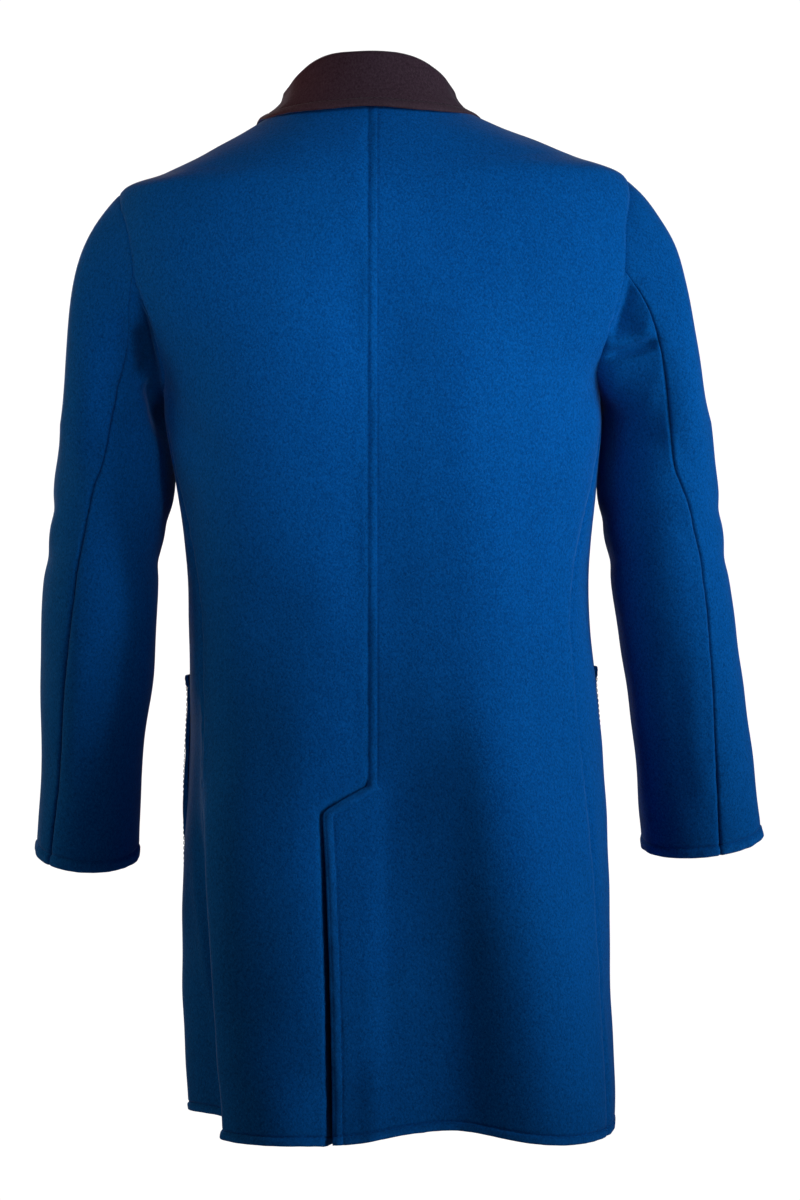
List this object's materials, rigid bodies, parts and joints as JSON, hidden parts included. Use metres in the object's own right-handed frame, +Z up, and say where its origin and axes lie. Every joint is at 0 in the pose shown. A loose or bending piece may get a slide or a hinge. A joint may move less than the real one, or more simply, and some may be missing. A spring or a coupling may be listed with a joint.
{
  "type": "reversible overcoat",
  "caption": "Hip-to-thigh length overcoat held in its worn form, open at neck, hem and cuffs, with a turned-down collar in the reverse colour, patch pockets and a back vent.",
  "frame": {"origin": "the middle of the neck, level with the top of the shoulders, where the wearer's neck and shoulders hold the coat", "axes": "+Z up, +X to the wearer's left, -Y the way the wearer faces; the centre back seam lies in the plane X = 0"},
  "size_m": [0.6849, 0.2972, 0.9819],
  "materials": {
    "outer_cloth": "brushed nap, matt with a soft sheen",
    "reverse_cloth": "brushed nap, matt",
    "button": "dark horn look"
  },
  "bodies": {
    "root": {"back_left": "outer_cloth", "back_right": "outer_cloth", "front_left": "outer_cloth", "front_right": "outer_cloth", "sleeve_top_left": "outer_cloth", "sleeve_top_right": "outer_cloth", "sleeve_under_left": "outer_cloth", "sleeve_under_right": "outer_cloth", "pocket_left": "outer_cloth", "pocket_right": "outer_cloth", "collar": "reverse_cloth", "lapel_left": "reverse_cloth", "lapel_right": "reverse_cloth", "button_top": "button", "button_middle": "button", "button_bottom": "button"}
  },
  "joints": []
}
